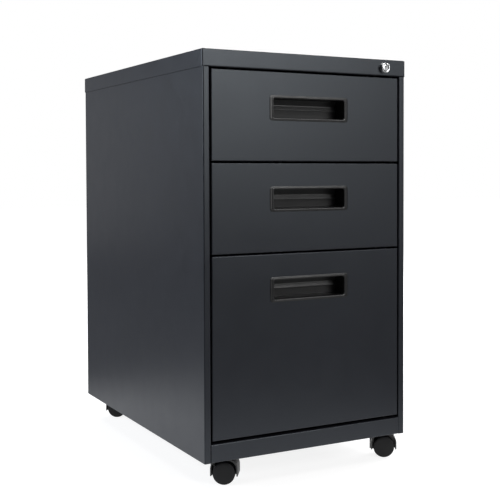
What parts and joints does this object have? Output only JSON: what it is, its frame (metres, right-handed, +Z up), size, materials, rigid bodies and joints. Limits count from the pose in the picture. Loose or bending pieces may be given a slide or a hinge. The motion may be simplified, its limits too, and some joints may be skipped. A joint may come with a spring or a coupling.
{
  "type": "metal filing cabinet",
  "caption": "Charcoal steel pedestal filing cabinet on swivel casters: box drawers over a file drawer, recessed black pulls and a key lock.",
  "frame": {"origin": "on the floor under the middle of the cabinet", "axes": "+X to the right of a person facing the drawers, +Y into the cabinet from its front, +Z up"},
  "size_m": [0.3852, 0.582, 0.6846],
  "materials": {
    "powder_coat": "satin charcoal powder coat",
    "black_plastic": "satin moulded black",
    "wheel_plastic": "satin moulded black",
    "chrome": "polished",
    "zinc_steel": "bright zinc plated",
    "cast_iron": "rough"
  },
  "bodies": {
    "cabinet": {"top_cover": "powder_coat", "left_side_panel": "powder_coat", "right_side_panel": "powder_coat", "back_panel": "powder_coat", "bottom_pan": "powder_coat", "counterweight": "cast_iron", "front_left_upright": "zinc_steel", "rear_left_upright": "zinc_steel", "front_right_upright": "zinc_steel", "rear_right_upright": "zinc_steel", "lock_housing": "chrome", "upper_left_slide_rail": "zinc_steel", "upper_right_slide_rail": "zinc_steel", "middle_left_slide_rail": "zinc_steel", "middle_right_slide_rail": "zinc_steel", "file_left_slide_rail": "zinc_steel", "file_right_slide_rail": "zinc_steel", "front_left_caster_stem": "zinc_steel", "front_right_caster_stem": "zinc_steel", "rear_left_caster_stem": "zinc_steel", "rear_right_caster_stem": "zinc_steel"},
    "upper_drawer": {"upper_drawer_front": "powder_coat", "upper_drawer_body": "powder_coat", "upper_drawer_pull": "black_plastic", "upper_left_slide_runner": "zinc_steel", "upper_right_slide_runner": "zinc_steel", "pencil_tray": "black_plastic"},
    "middle_drawer": {"middle_drawer_front": "powder_coat", "middle_drawer_body": "powder_coat", "middle_drawer_pull": "black_plastic", "middle_left_slide_runner": "zinc_steel", "middle_right_slide_runner": "zinc_steel"},
    "file_drawer": {"file_drawer_front": "powder_coat", "file_drawer_body": "powder_coat", "file_drawer_pull": "black_plastic", "file_left_slide_runner": "zinc_steel", "file_right_slide_runner": "zinc_steel", "left_hanging_rail": "black_plastic", "right_hanging_rail": "black_plastic"},
    "file_slide_middles": {"file_left_slide_middle": "zinc_steel", "file_right_slide_middle": "zinc_steel"},
    "lock_plug": {"lock_plug": "chrome", "lock_cam": "zinc_steel"},
    "lock_bar": {"lock_bar": "zinc_steel"},
    "front_left_caster": {"front_left_caster_hood": "black_plastic", "front_left_caster_axle": "zinc_steel"},
    "front_left_outer_wheel": {"front_left_outer_wheel": "wheel_plastic"},
    "front_left_inner_wheel": {"front_left_inner_wheel": "wheel_plastic"},
    "front_right_caster": {"front_right_caster_hood": "black_plastic", "front_right_caster_axle": "zinc_steel"},
    "front_right_outer_wheel": {"front_right_outer_wheel": "wheel_plastic"},
    "front_right_inner_wheel": {"front_right_inner_wheel": "wheel_plastic"},
    "rear_left_caster": {"rear_left_caster_hood": "black_plastic", "rear_left_caster_axle": "zinc_steel"},
    "rear_left_outer_wheel": {"rear_left_outer_wheel": "wheel_plastic"},
    "rear_left_inner_wheel": {"rear_left_inner_wheel": "wheel_plastic"},
    "rear_right_caster": {"rear_right_caster_hood": "black_plastic", "rear_right_caster_axle": "zinc_steel"},
    "rear_right_outer_wheel": {"rear_right_outer_wheel": "wheel_plastic"},
    "rear_right_inner_wheel": {"rear_right_inner_wheel": "wheel_plastic"}
  },
  "joints": [
    {"name": "upper_drawer_slide", "type": "slide", "parent": "cabinet", "child": "upper_drawer", "axis": [0, -1, 0], "range_m": [0, 0.375]},
    {"name": "middle_drawer_slide", "type": "slide", "parent": "cabinet", "child": "middle_drawer", "axis": [0, -1, 0], "range_m": [0, 0.375]},
    {"name": "file_drawer_slide", "type": "slide", "parent": "cabinet", "child": "file_drawer", "axis": [0, -1, 0], "range_m": [0, 0.5]},
    {"name": "file_middles_slide", "type": "slide", "parent": "cabinet", "child": "file_slide_middles", "axis": [0, -1, 0], "range_m": [0, 0.25]},
    {"name": "lock_turn", "type": "hinge", "parent": "cabinet", "child": "lock_plug", "pos_m": [0.146, -0.284, 0.6702], "axis": [0, 1, 0], "range_deg": [0, 90]},
    {"name": "lock_bar_slide", "type": "slide", "parent": "cabinet", "child": "lock_bar", "axis": [0, 0, 1], "range_m": [0, 0.0113]},
    {"name": "front_left_swivel", "type": "hinge", "parent": "cabinet", "child": "front_left_caster", "pos_m": [-0.153, -0.243, 0.0426], "axis": [0, 0, 1], "continuous": true},
    {"name": "front_left_outer_wheel_spin", "type": "hinge", "parent": "front_left_caster", "child": "front_left_outer_wheel", "pos_m": [-0.13874, -0.25226, 0.018], "axis": [0.5446, 0.8387, 0], "continuous": true},
    {"name": "front_left_inner_wheel_spin", "type": "hinge", "parent": "front_left_caster", "child": "front_left_inner_wheel", "pos_m": [-0.13874, -0.25226, 0.018], "axis": [0.5446, 0.8387, 0], "continuous": true},
    {"name": "front_right_swivel", "type": "hinge", "parent": "cabinet", "child": "front_right_caster", "pos_m": [0.153, -0.243, 0.0426], "axis": [0, 0, 1], "continuous": true},
    {"name": "front_right_outer_wheel_spin", "type": "hinge", "parent": "front_right_caster", "child": "front_right_outer_wheel", "pos_m": [0.16772, -0.2515, 0.018], "axis": [0.5, 0.866, 0], "continuous": true},
    {"name": "front_right_inner_wheel_spin", "type": "hinge", "parent": "front_right_caster", "child": "front_right_inner_wheel", "pos_m": [0.16772, -0.2515, 0.018], "axis": [0.5, 0.866, 0], "continuous": true},
    {"name": "rear_left_swivel", "type": "hinge", "parent": "cabinet", "child": "rear_left_caster", "pos_m": [-0.153, 0.259, 0.0426], "axis": [0, 0, 1], "continuous": true},
    {"name": "rear_left_outer_wheel_spin", "type": "hinge", "parent": "rear_left_caster", "child": "rear_left_outer_wheel", "pos_m": [-0.13813, 0.25076, 0.018], "axis": [0.4848, 0.8746, 0], "continuous": true},
    {"name": "rear_left_inner_wheel_spin", "type": "hinge", "parent": "rear_left_caster", "child": "rear_left_inner_wheel", "pos_m": [-0.13813, 0.25076, 0.018], "axis": [0.4848, 0.8746, 0], "continuous": true},
    {"name": "rear_right_swivel", "type": "hinge", "parent": "cabinet", "child": "rear_right_caster", "pos_m": [0.153, 0.259, 0.0426], "axis": [0, 0, 1], "continuous": true},
    {"name": "rear_right_outer_wheel_spin", "type": "hinge", "parent": "rear_right_caster", "child": "rear_right_outer_wheel", "pos_m": [0.16693, 0.24925, 0.018], "axis": [0.5736, 0.8192, 0], "continuous": true},
    {"name": "rear_right_inner_wheel_spin", "type": "hinge", "parent": "rear_right_caster", "child": "rear_right_inner_wheel", "pos_m": [0.16693, 0.24925, 0.018], "axis": [0.5736, 0.8192, 0], "continuous": true}
  ],
  "couplings": [
    {"joint": "file_middles_slide", "follows": "file_drawer_slide", "ratio": 0.5},
    {"joint": "lock_turn", "follows": "lock_bar_slide", "rad_per_m": 138.84}
  ]
}
